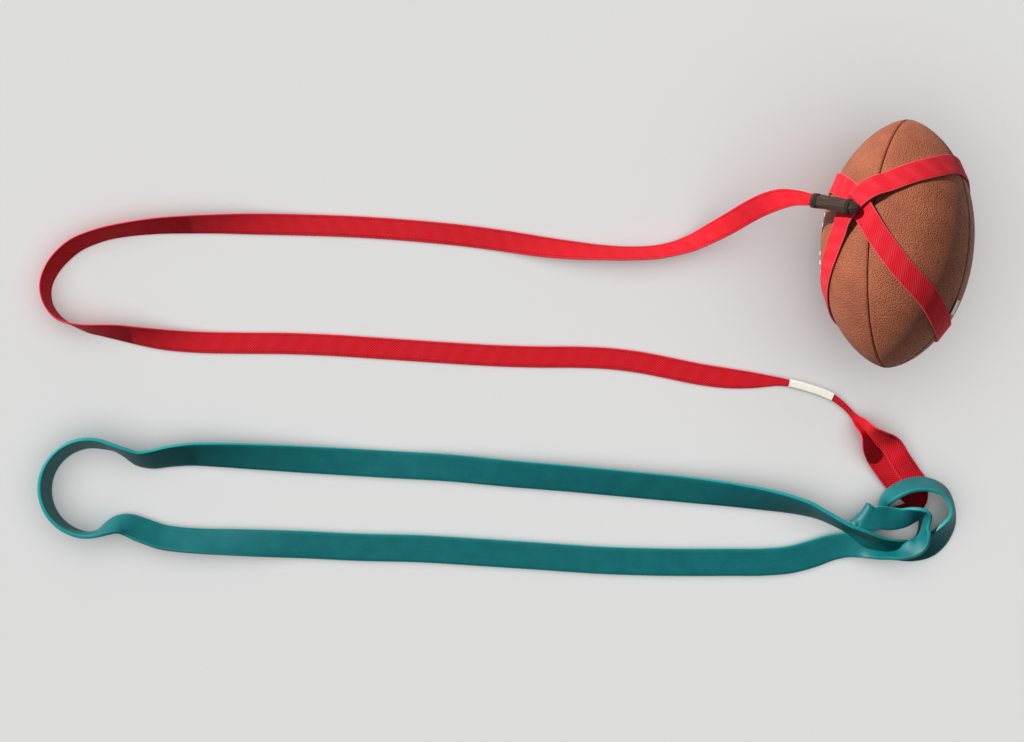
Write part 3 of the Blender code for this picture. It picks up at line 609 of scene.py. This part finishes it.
def route_points(rows, width, thickness):
    """The centre, across direction and width of a strip at each row of its route."""
    centres, rolls, widths = [], [], []
    for x, y, lift, roll, *share in rows:
        wide = width * (share[0] if share else 1)
        angle = math.radians(roll)
        half = abs(math.sin(angle)) * wide / 2 + abs(math.cos(angle)) * thickness / 2
        centres.append(Vector((x * MM, y * MM, lift * MM + half)))
        rolls.append(angle)
        widths.append(wide)
    across = []
    for i, angle in enumerate(rolls):
        along = centres[min(i + 1, len(rows) - 1)] - centres[max(i - 1, 0)]
        side = Vector((-along.y, along.x, 0))
        if side.length < UPRIGHT_SHARE * along.length:
            across.append(across[-1])
            continue
        side.normalize()
        upward = along.cross(side).normalized()
        turned = side * math.cos(angle) + upward * math.sin(angle)
        if across and turned.dot(across[-1]) < 0:
            turned = -turned  # the same strip, with its edges named the other way round
        across.append(turned)
    return centres, across, widths


def sections_of(rows, width, thickness):
    """Sections (centre, across, normal, width) along the curve through the rows, and which is at each row."""
    centres, across, widths = route_points(rows, width, thickness)
    steps = [max((b - a).length, MM / 10) for a, b in zip(centres, centres[1:])]
    fractions, marks = [], []
    for i, long in enumerate(steps):
        parts = max(2, math.ceil(long / FINE_STEP))
        marks.append(len(fractions))
        fractions += [(i, k / parts) for k in range(parts)]
    marks.append(len(fractions))
    fractions.append((len(steps), 0))
    middle = hermite(centres, steps, fractions)
    side = hermite(across, steps, fractions)
    wide = hermite(widths, steps, fractions)
    sections = []
    for i, centre in enumerate(middle):
        along = (middle[min(i + 1, len(middle) - 1)] - middle[max(i - 1, 0)]).normalized()
        direction = (side[i] - along * side[i].dot(along)).normalized()
        sections.append((centre, direction, along.cross(direction), wide[i]))
    return sections, marks


def ball_radius(station, inset=0.0):
    share = min(abs(station) / (BALL_LENGTH / 2 - inset), 1)
    return (BALL_DIAMETER / 2 - inset) * (1 - share**PROFILE_POWER) ** PROFILE_ROOT


def ball_point(station, angle, inset=0.0):
    r = ball_radius(station, inset)
    return Vector((r * math.sin(angle), station, r * math.cos(angle)))


def ball_normal(station, angle):
    """Outward direction of the ball's surface."""
    small = MM / 10
    slope = (ball_radius(station + small) - ball_radius(station - small)) / (2 * small)
    return Vector((math.sin(angle), -slope, math.cos(angle))).normalized()


def surface_frame(station, angle):
    """A matrix whose origin is on the ball and whose Z points outwards."""
    normal = ball_normal(station, angle)
    across = Vector((math.cos(angle), 0, -math.sin(angle)))
    along = normal.cross(across).normalized()
    turned = Matrix((across, along, normal)).transposed().to_4x4()
    return Matrix.Translation(ball_point(station, angle)) @ turned


def loop_middles(knots, count):
    """(station, angle) round a harness loop, on the smooth closed curve through its knots."""
    full = 2 * math.pi
    turns = [math.radians(angle) for angle, _ in knots]
    values = [station * MM for _, station in knots]
    around = [t - full for t in turns[-2:]] + turns + [t + full for t in turns[:2]]
    values = values[-2:] + values + values[:2]
    steps = [b - a for a, b in zip(around, around[1:])]
    angles = [turns[0] + full * k / count for k in range(count)]
    fractions = []
    for angle in angles:
        i = sum(turn <= angle for turn in around) - 1
        fractions.append((i, (angle - around[i]) / steps[i]))
    return list(zip(hermite(values, steps, fractions), angles))


def arc_rows():
    """The anchor loop: a round bend of the band standing nearly on its edge."""
    first, last = ANCHOR_ARC
    rows = []
    for i in range(ANCHOR_ROWS + 1):
        turn = first + (last - first) * i / ANCHOR_ROWS
        x = ANCHOR_CENTRE[0] + ANCHOR_RADIUS * math.cos(turn)
        y = ANCHOR_CENTRE[1] + ANCHOR_RADIUS * math.sin(turn)
        rows.append((x, y, 0.3, ANCHOR_ROLL - ANCHOR_LEAN * math.sin(turn)))
    return ANCHOR_START + rows + ANCHOR_END


FINISHES = {
    "leather": leather_finish(),
    "lace": lace_finish(),
    # In each webbing the third colour is the pale pink painted highlight along the edges, which also tints
    # the painted sheen.
    "webbing": webbing_finish(
        "webbing_red", WEBBING_WIDTH, (0.66, 0.003, 0.013), (0.30, 0.0, 0.004), (0.70, 0.045, 0.075), 0.75
    ),
    "harness": webbing_finish(
        "harness_red", WEBBING_WIDTH, (0.66, 0.003, 0.016), (0.34, 0.0, 0.006), (0.74, 0.10, 0.14), 0.12
    ),
    "label": label_finish("label_white"),
    "wrap": wrap_finish("wrap_brown", (0.024, 0.009, 0.003), (0.105, 0.046, 0.015), 900.0),
    "thread": wrap_finish("thread_dark", (0.020, 0.008, 0.003), (0.060, 0.026, 0.010), 2500.0),
    "latex": latex_finish(),
    "lining": moulded_finish("lining_cloth", (0.60, 0.56, 0.48), (0.42, 0.38, 0.31), 90.0),
    "rubber": moulded_finish("bladder_rubber", (0.030, 0.030, 0.030), (0.075, 0.072, 0.068), 160.0),
}
BALL = Matrix.Translation((BALL_X, BALL_Y, BALL_Z)) @ Matrix.Rotation(BALL_TURN, 4, "Z")


def add_piece(name, points, faces, uvs, finish, nodes, body=None):
    """One visible piece, with its finish, the CAD nodes it stands for and the body it rides on."""
    mesh = bpy.data.meshes.new(name)
    mesh.from_pydata([tuple(p) for p in points], [], faces)
    if uvs:
        layer = mesh.uv_layers.new(name="strap")
        for loop in mesh.loops:
            layer.data[loop.index].uv = uvs[loop.vertex_index]
    shape = bmesh.new()
    shape.from_mesh(mesh)
    bmesh.ops.recalc_face_normals(shape, faces=shape.faces)
    shape.to_mesh(mesh)
    shape.free()
    mesh.materials.append(FINISHES[finish])
    obj = bpy.data.objects.new(name, mesh)
    bpy.context.scene.collection.objects.link(obj)
    mesh.shade_smooth()
    mesh.set_sharp_from_angle(angle=math.radians(50))
    if nodes:
        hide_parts(*nodes)
    if body:
        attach(obj, body)
    return obj


def strap_profile(width, thickness, edge, cells=8, turns=3):
    """Points round a strap's cross-section with rounded edges, as (across, up)."""
    half, deep = width / 2 - edge, thickness / 2
    bends = [math.radians(-90 + 180 * k / (2 * turns + 1)) for k in range(1, 2 * turns + 1)]
    right = [(half + edge * math.cos(bend), deep * math.sin(bend)) for bend in bends]
    bottom = [(-half + 2 * half * k / cells, -deep) for k in range(cells + 1)]
    top = [(half - 2 * half * k / cells, deep) for k in range(cells + 1)]
    left = [(-x, -y) for x, y in right]
    return bottom + right + top + left


def strap(
    name, sections, thickness, edge, finish, nodes, body=None, width=None, joined=False, start=0.0
):
    """A strap with rounded edges through its sections, with distances across and along it as its UVs."""
    points, faces, uvs = [], [], []
    travelled = start
    full = width or max(section[3] for section in sections)
    size = 0
    for i, (centre, across, normal, wide) in enumerate(sections):
        if i:
            travelled += (centre - sections[i - 1][0]).length
        ring = strap_profile(wide, thickness, edge)
        size = len(ring)
        for x, y in ring:
            points.append(centre + across * x + normal * y)
            uvs.append((x / wide * full, travelled))
    total = len(points)
    for i in range(0, total if joined else total - size, size):
        j = (i + size) % total
        faces += [(i + k, i + (k + 1) % size, j + (k + 1) % size, j + k) for k in range(size)]
    if not joined:
        faces += [tuple(range(size))[::-1], tuple(range(total - size, total))]
    return add_piece(name, points, faces, uvs, finish, nodes, body)


def in_world(sections):
    """Sections of the ball's own frame, in the row frame."""
    turn = BALL.to_3x3()
    return [(BALL @ c, turn @ a, turn @ n, w) for c, a, n, w in sections]


def split(groups, width, thickness, closed=False):
    """The sections of each named group of rows of one long strip, end to end."""
    rows = [row for _, part in groups for row in part]
    first = 2 if closed else 0
    if closed:
        rows = rows[-first:] + rows + rows[:first]
    sections, marks = sections_of(rows, width, thickness)
    made = {}
    for i, (name, part) in enumerate(groups):
        last = first + len(part)
        if not closed and i == len(groups) - 1:
            last -= 1
        made[name] = sections[marks[first] : marks[last] + 1]
        first = last
    return made


def length_of(points):
    return sum((b - a).length for a, b in zip(points, points[1:]))


def make_panel(number, first, last):
    """A fine leather panel whose edges roll down into the seams."""
    rows, columns = 120, 44
    widest = math.asin(TIP_REACH)
    points, faces = [], []
    for i in range(rows + 1):
        station = BALL_LENGTH / 2 * math.sin(-widest + 2 * widest * i / rows)
        radius = ball_radius(station)
        edge = min(SEAM_GAP / 2 / radius, (last - first) * 0.2)
        reach = (last - first) / 2 - edge
        sides = [(min(distance / radius, reach * 0.2), deep) for distance, deep in SEAM_ROLL]
        inner = sides[-1][0]
        middle = [(inner + (2 * reach - 2 * inner) * k / columns, 0.0) for k in range(1, columns)]
        places = sides + middle + [(2 * reach - a, deep) for a, deep in reversed(sides)]
        for turn, deep in places:
            angle = first + edge + turn
            sunk = ball_normal(station, angle) * min(deep, radius * 0.3)
            points.append(BALL @ (ball_point(station, angle) - sunk))
    size = len(points) // (rows + 1)
    for i in range(rows):
        for j in range(size - 1):
            a = i * size + j
            faces.append((a, a + 1, a + size + 1, a + size))
    name, node = f"ball_panel_{number}", f"leather_panel_{number}"
    return add_piece(name, points, faces, None, "leather", [node], "ball")


def press_valve_dimple(panel):
    """A round dimple in a panel over the valve."""
    place = BALL @ surface_frame(VALVE_STATION, VALVE_ANGLE)
    centre = place.translation
    axis = place.to_3x3() @ Vector((0, 0, 1))
    reach = VALVE_HOLE + VALVE_DIMPLE_RIM
    for vertex in panel.data.vertices:
        away = vertex.co - centre
        distance = (away - axis * away.dot(axis)).length
        if distance < reach:
            share = max(0.0, 1 - distance / reach)
            vertex.co -= axis * VALVE_DIMPLE_DEPTH * min(1.0, share * 2.2)


def make_ball():
    for i, first in enumerate(SEAM_ANGLES):
        last = SEAM_ANGLES[(i + 1) % 4] + (2 * math.pi if i == 3 else 0)
        panel = make_panel(i + 1, first, last)
        if first < VALVE_ANGLE < last:
            press_valve_dimple(panel)
    for i in range(4):
        dress(f"panel_lining_{i + 1}", "lining")
    dress("bladder", "rubber")
    dress("valve", "rubber")


def dress(node, finish):
    """A CAD node that stays in view gets the better finish."""
    obj = frame["nodes"][node]
    for slot in obj.material_slots:
        slot.link = "OBJECT"
        slot.material = FINISHES[finish]


def make_laces():
    seam = SEAM_ANGLES[0]
    half = LACE_PITCH * (LACE_CROSSINGS - 1) / 2 + LACE_WIDTH * 0.9
    sections = []
    for i in range(61):
        station = LACE_CENTRE - half + 2 * half * i / 60
        normal = ball_normal(station, seam)
        across = Vector((math.cos(seam), 0, -math.sin(seam)))
        centre = ball_point(station, seam) + normal * (GAP + LACE_THICKNESS / 2)
        sections.append((centre, across, normal, LACE_WIDTH))
    placed = in_world(sections)
    strap("lace_lengthwise", placed, LACE_THICKNESS, LACE_EDGE, "lace", ["lace_long"], "ball")
    for n in range(LACE_CROSSINGS):
        middle = LACE_CENTRE + (n - (LACE_CROSSINGS - 1) / 2) * LACE_PITCH
        sections = []
        for i in range(31):
            share = 2 * i / 30 - 1
            angle = seam + share * LACE_SPAN / 2 / ball_radius(middle)
            hump = (LACE_THICKNESS + GAP) * (1 - share**4)
            normal = ball_normal(middle, angle)
            centre = ball_point(middle, angle) + normal * (GAP + hump + LACE_THICKNESS / 2)
            sections.append((centre, Vector((0, 1, 0)), normal, LACE_WIDTH))
        name = f"lace_crossing_{n + 1}"
        node = f"lace_cross_{n + 1}"
        strap(name, in_world(sections), LACE_THICKNESS, LACE_EDGE, "lace", [node], "ball")


def make_harness():
    """The two webbing loops, which cross in front and behind, the upper one over the lower one."""
    stack = WEBBING_THICKNESS + GAP
    rise = stack + GAP + HARNESS_WIDTH**2 / 4 / BALL_DIAMETER
    front = ball_point(*FRONT_CROSSING)
    upper, lower = (loop_middles(knots, HARNESS_SECTIONS) for knots in HARNESS_KNOTS.values())
    behind = range(HARNESS_SECTIONS // 4, 3 * HARNESS_SECTIONS // 4)
    rear = ball_point(*upper[min(behind, key=lambda k: abs(upper[k][0] - lower[k][0]))])
    for node, middles in (("harness_loop_upper", upper), ("harness_loop_lower", lower)):
        points = [ball_point(*middle) for middle in middles]
        sections = []
        for i, (point, middle) in enumerate(zip(points, middles)):
            outward = ball_normal(*middle)
            tangent = points[(i + 1) % len(points)] - points[i - 1]
            across = outward.cross(tangent).normalized()
            lift = GAP + WEBBING_THICKNESS / 2
            if node == "harness_loop_upper":
                near = min((point - front).length, (point - rear).length)
                share = max(0.0, min(1.0, 2.1 - near / (HARNESS_WIDTH * 0.75)))
                lift += rise * share * share * (3 - 2 * share)
            pulled = max(0.0, 1 - (point - front).length / PULL_REACH)
            lift += PULL * pulled * pulled * (3 - 2 * pulled)
            sections.append((point + outward * lift, across, outward, HARNESS_WIDTH))
        name = node.replace("loop", "strap")
        strap(name, in_world(sections), WEBBING_THICKNESS, WEBBING_EDGE, "harness", [node],
              "ball", WEBBING_WIDTH, joined=True)


def make_tag():
    station, angle = TAG_POINT
    sections = []
    for i in range(17):
        at = station + TAG_LENGTH * (i / 16 - 0.5)
        normal = ball_normal(at, angle)
        across = Vector((math.cos(angle), 0, -math.sin(angle)))
        centre = ball_point(at, angle) + normal * (GAP + LABEL_THICKNESS / 2 + 0.0004)
        sections.append((centre, across, normal, TAG_WIDTH))
    strap("harness_care_tag", in_world(sections), LABEL_THICKNESS, TAG_EDGE, "label",
          ["harness_tag"], "ball")


def keeper_line():
    """The keeper's start, direction, across direction and length."""
    root = BALL @ ball_point(*KEEPER_ROOT)
    outward = (BALL.to_3x3() @ ball_normal(*KEEPER_ROOT)).normalized()
    stack = 2 * (WEBBING_THICKNESS + GAP) + HARNESS_WIDTH**2 / 2 / BALL_DIAMETER + 2 * GAP
    start = root + outward * (PULL + stack + KEEPER_DEPTH / 2 + KEEPER_WALL)
    heading = Vector((*KEEPER_HEADING, 0)).normalized()
    along = heading * math.cos(KEEPER_SLOPE) - Vector((0, 0, 1)) * math.sin(KEEPER_SLOPE)
    return start, along, Vector((-heading.y, heading.x, 0)), KEEPER_REACH / math.cos(KEEPER_SLOPE)


def make_keeper():
    """The wrap with lengthwise folds, tucked in over the crossing, and the wound thread at both ends."""
    start, along, across, length = keeper_line()
    normal = along.cross(across)
    points, faces, uvs = [], [], []
    sides, rings = 96, 64
    for i in range(rings + 1):
        share = i / rings
        travel = -0.006 + (length + 0.006) * share
        tuck = max(0.0, 1 - (travel + 0.006) / 0.013)
        grow = math.sqrt(max(0.02, 1 - tuck**1.6)) * (1.02 - 0.05 * math.sin(3.0 * share))
        centre = start + along * travel - Vector((0, 0, 0.0045)) * tuck
        for k in range(sides):
            turn = 2 * math.pi * k / sides
            fold = 0.055 * math.sin(6 * turn + 2.4 * share) + 0.035 * math.sin(13 * turn - 3.5 * share)
            fold += 0.06 * noise.noise(Vector((3 * math.cos(turn), 3 * math.sin(turn), 5 * share)))
            out = (1 + fold) * grow
            sideways = across * KEEPER_WIDTH / 2 * out * math.cos(turn)
            points.append(centre + sideways + normal * KEEPER_DEPTH / 2 * out * math.sin(turn))
            uvs.append((turn * KEEPER_WIDTH / 2, travel))
    for i in range(rings):
        for k in range(sides):
            a, b = i * sides + k, i * sides + (k + 1) % sides
            faces.append((a, b, b + sides, a + sides))
    faces.append(tuple(range(sides))[::-1])
    last = len(points)
    inner = [0.84, 0.80, 0.78]
    for i, grow in enumerate(inner):
        centre = start + along * (length - 0.003 * i)
        for k in range(sides):
            turn = 2 * math.pi * k / sides
            sideways = across * KEEPER_WIDTH / 2 * grow * math.cos(turn)
            points.append(centre + sideways + normal * KEEPER_DEPTH / 2 * grow * math.sin(turn))
            uvs.append((turn * KEEPER_WIDTH / 2, length - 0.003 * i))
    for i in range(len(inner)):
        for k in range(sides):
            a = last - sides + i * sides + k
            b = last - sides + i * sides + (k + 1) % sides
            faces.append((a, b, b + sides, a + sides))
    add_piece("keeper_wrap", points, faces, uvs, "wrap", ["keeper_sleeve"], "ball")
    for name, share in (("keeper_whipping_ball", 0.10), ("keeper_whipping_mouth", 0.86)):
        wind_thread(name, start + along * length * share, along, across, normal)
    sections = [(start + along * (length * k / 10), across, normal, KEEPER_WIDTH * 0.7) for k in range(1, 10)]
    strap("strap_in_keeper", sections, WEBBING_THICKNESS * 1.6, WEBBING_EDGE, "webbing",
          ["tether_root"], "ball", WEBBING_WIDTH)


def wind_thread(node, start, along, across, normal):
    """Close turns of thread round the keeper."""
    thick, turns, steps, sides = THREAD_THICKNESS, 6, 48, 8
    points, faces, uvs = [], [], []
    travelled = 0.0
    for i in range(turns * steps + 1):
        turn = 2 * math.pi * i / steps
        centre = start + along * (WHIPPING_LENGTH * i / (turns * steps))
        outward = across * math.cos(turn) * KEEPER_WIDTH / 2 + normal * math.sin(turn) * KEEPER_DEPTH / 2
        place = centre + outward * 1.06
        outward = outward.normalized()
        for k in range(sides):
            around = 2 * math.pi * k / sides
            points.append(place + (outward * math.cos(around) + along * math.sin(around)) * thick / 2)
            uvs.append((around * thick / 2, travelled))
        travelled += 2 * math.pi * KEEPER_WIDTH / 2 / steps
    for i in range(turns * steps):
        for k in range(sides):
            a, b = i * sides + k, i * sides + (k + 1) % sides
            faces.append((a, b, b + sides, a + sides))
    total = len(points)
    faces += [tuple(range(sides))[::-1], tuple(range(total - sides, total))]
    name = node.replace("keeper_whipping", "whipping_thread")
    add_piece(name, points, faces, uvs, "thread", [node], "ball")


def make_tether():
    """The tether: its upper run, its lower run, the eye round the band and the label sleeve."""
    start, along, across, length = keeper_line()
    mouth = start + along * length
    inside = (mouth + along * SWING_GAP) / MM
    first = (inside.x, inside.y, inside.z - WEBBING_THICKNESS / MM, *MOUTH_ROLL_AND_SHARE)
    groups = [("upper", [first, *UPPER_RUN]), ("lower", LOWER_RUN), ("eye", EYE_ROUTE)]
    made = split(groups, WEBBING_WIDTH, WEBBING_THICKNESS)
    normal = along.cross(across)
    head = made["upper"][0]
    before = []
    for k in range(4):
        share = k / 4
        centre = (mouth - along * 0.006).lerp(head[0], share)
        side = across.lerp(head[1] if head[1].dot(across) > 0 else -head[1], share).normalized()
        if head[1].dot(across) < 0:
            side = -side
        wide = KEEPER_WIDTH * 0.66 * (1 - share) + head[3] * share
        before.append((centre, side, along.cross(side).normalized(), wide))
    upper = before + made["upper"]
    middles = [section[0] for section in upper]
    run = strap("tether_upper_run", upper, WEBBING_THICKNESS, WEBBING_EDGE, "webbing",
                ["tether_upper"], width=WEBBING_WIDTH)
    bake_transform(run)
    length_of(middles)
    middles = [section[0] for section in made["lower"]]
    run = strap("tether_lower_run", made["lower"], WEBBING_THICKNESS, WEBBING_EDGE, "webbing",
                ["tether_lower"], width=WEBBING_WIDTH, start=length_of([s[0] for s in upper]))
    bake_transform(run)
    length_of(middles)
    strap("tether_eye_strap", made["eye"], WEBBING_THICKNESS, WEBBING_EDGE, "webbing",
          ["tether_eye"], "tether_lower_run", WEBBING_WIDTH)
    sections, _ = sections_of(LABEL_ROUTE, LABEL_WIDTH, LABEL_DEPTH)
    make_label(sections)


def make_label(sections):
    """The label sleeve: a flat tube with soft corners, open at both ends."""
    points, faces, uvs = [], [], []
    travelled, size = 0.0, 0
    for layer in (0.0, LABEL_THICKNESS):
        travelled = 0.0
        for i, (centre, across, normal, wide) in enumerate(sections):
            if i:
                travelled += (centre - sections[i - 1][0]).length
            ring = strap_profile(wide - 2 * layer, LABEL_DEPTH - 2 * layer, LABEL_CORNER, 8, 4)
            size = len(ring)
            for x, y in ring:
                points.append(centre + across * x + normal * y)
                uvs.append((x, travelled))
    half = size * len(sections)
    for base in (0, half):
        for i in range(len(sections) - 1):
            for k in range(size):
                a, b = base + i * size + k, base + i * size + (k + 1) % size
                faces.append((a, b, b + size, a + size))
    for end in (0, half - size):
        for k in range(size):
            a, b = end + k, end + (k + 1) % size
            faces.append((a, b, b + half, a + half))
    add_piece("tether_label_sleeve", points, faces, uvs, "label", ["tether_label"],
              "tether_lower_run")


def make_band():
    """The flat loop band: its two legs stretch between the hitch and the anchor loop."""
    groups = [("upper", UPPER_LEG), ("hitch", HITCH_ROUTE), ("lower", LOWER_LEG), ("anchor", arc_rows())]
    made = split(groups, BAND_WIDTH, BAND_THICKNESS, closed=True)
    start = 0.0
    for key, node, body in (
        ("upper", "band_leg_upper", None),
        ("hitch", "band_hitch", "band"),
        ("lower", "band_leg_lower", None),
        ("anchor", "band_anchor_loop", "band_end"),
    ):
        sections = made[key]
        middles = [section[0] for section in sections]
        name = node.replace("band_", "loop_band_")
        piece = strap(name, sections, BAND_THICKNESS, BAND_EDGE, "latex", [node], body,
                      BAND_WIDTH, start=start)
        start += length_of(middles)
        if body:
            continue
        if key == "upper":
            middles.reverse()
        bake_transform(piece)
        length_of(middles)


def make_studio():
    """A pale floor, a hard key light from the upper left that skips the floor, and soft light all round."""
    mesh = bpy.data.meshes.new("floor")
    far = FLOOR_HALF
    mesh.from_pydata([(-far, -far, 0), (far, -far, 0), (far, far, 0), (-far, far, 0)], [], [(0, 1, 2, 3)])
    mesh.materials.append(floor_finish())
    floor = bpy.data.objects.new("floor", mesh)
    floor.location.z = -FLOOR_DROP
    bpy.context.scene.collection.objects.link(floor)
    world = bpy.data.worlds.new("studio")
    bpy.context.scene.world = world
    world.use_nodes = True
    world.node_tree.nodes["Background"].inputs["Color"].default_value = (1.0, 1.0, 1.0, 1)
    world.node_tree.nodes["Background"].inputs["Strength"].default_value = WORLD_LIGHT
    lamp = bpy.data.lights.new("key", "SUN")
    lamp.energy = KEY_LIGHT
    lamp.angle = math.radians(1.2)
    lamp.color = (1.0, 0.97, 0.93)
    key = bpy.data.objects.new("key", lamp)
    key.rotation_euler = Vector(KEY_FROM).to_track_quat("Z", "Y").to_euler()
    bpy.context.scene.collection.objects.link(key)
    lit = bpy.data.collections.new("lit_by_key")
    for obj in bpy.context.scene.objects:
        if obj.type == "MESH" and obj is not floor:
            lit.objects.link(obj)
    key.light_linking.receiver_collection = lit
    soft = bpy.data.lights.new("floor_light", "SUN")
    soft.energy = FLOOR_LIGHT
    soft.angle = math.radians(120)
    wash = bpy.data.objects.new("floor_light", soft)
    bpy.context.scene.collection.objects.link(wash)
    plain = bpy.data.collections.new("lit_by_floor_light")
    plain.objects.link(floor)
    wash.light_linking.receiver_collection = plain
    camera = bpy.data.cameras.new("camera")
    camera.lens = CAMERA_LENS
    camera.sensor_width = 36
    camera.clip_end = 20
    eye = bpy.data.objects.new("camera", camera)
    eye.location = CAMERA_PLACE
    bpy.context.scene.collection.objects.link(eye)
    bpy.context.scene.camera = eye
    bpy.context.scene.view_settings.view_transform = "Standard"


make_ball()
make_laces()
make_harness()
make_tag()
make_keeper()
make_tether()
make_band()
make_studio()
